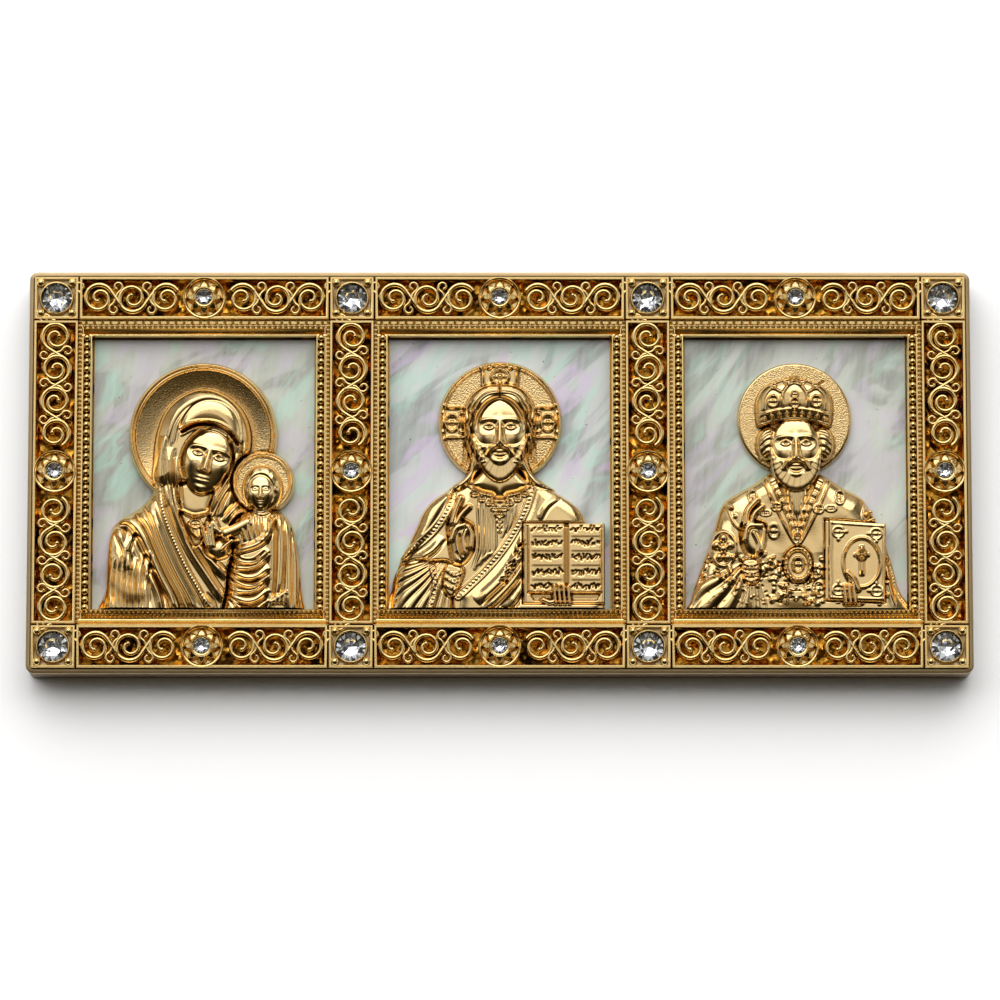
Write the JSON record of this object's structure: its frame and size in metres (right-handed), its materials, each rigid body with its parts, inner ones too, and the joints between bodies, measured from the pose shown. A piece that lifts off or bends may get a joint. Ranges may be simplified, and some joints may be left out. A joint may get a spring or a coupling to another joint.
{
  "type": "car icon",
  "caption": "Gilt cast dashboard icon: scrollwork frame with glass stones, relief half-figures on mother-of-pearl plates.",
  "frame": {"origin": "centre of the flat back, on the plane that the icon lies on", "axes": "+Z out of the face, +X along the long side with the relief with the closed book at the +X end, +Y to the top edge of the icon"},
  "size_m": [0.094, 0.0404, 0.0057],
  "materials": {
    "gilt_frame": "polished gilt plating over a cast frame, amber in the recesses",
    "gilt_relief": "bright gilt plating, polished on the figures and finely stippled on the haloes",
    "mother_of_pearl": "polished grey-white nacre with green and lilac streaks",
    "glass_stone": "clear cut glass"
  },
  "bodies": {
    "root": {"frame": "gilt_frame", "pearl_plate_left": "mother_of_pearl", "pearl_plate_middle": "mother_of_pearl", "pearl_plate_right": "mother_of_pearl", "relief_mother_and_child": "gilt_relief", "relief_man_with_open_book": "gilt_relief", "relief_bishop_with_closed_book": "gilt_relief", "stone_top_1": "glass_stone", "stone_top_2": "glass_stone", "stone_top_3": "glass_stone", "stone_top_4": "glass_stone", "stone_bottom_1": "glass_stone", "stone_bottom_2": "glass_stone", "stone_bottom_3": "glass_stone", "stone_bottom_4": "glass_stone", "small_stone_top_1": "glass_stone", "small_stone_top_2": "glass_stone", "small_stone_top_3": "glass_stone", "small_stone_bottom_1": "glass_stone", "small_stone_bottom_2": "glass_stone", "small_stone_bottom_3": "glass_stone", "small_stone_side_1": "glass_stone", "small_stone_side_2": "glass_stone", "small_stone_side_3": "glass_stone", "small_stone_side_4": "glass_stone"}
  },
  "joints": []
}
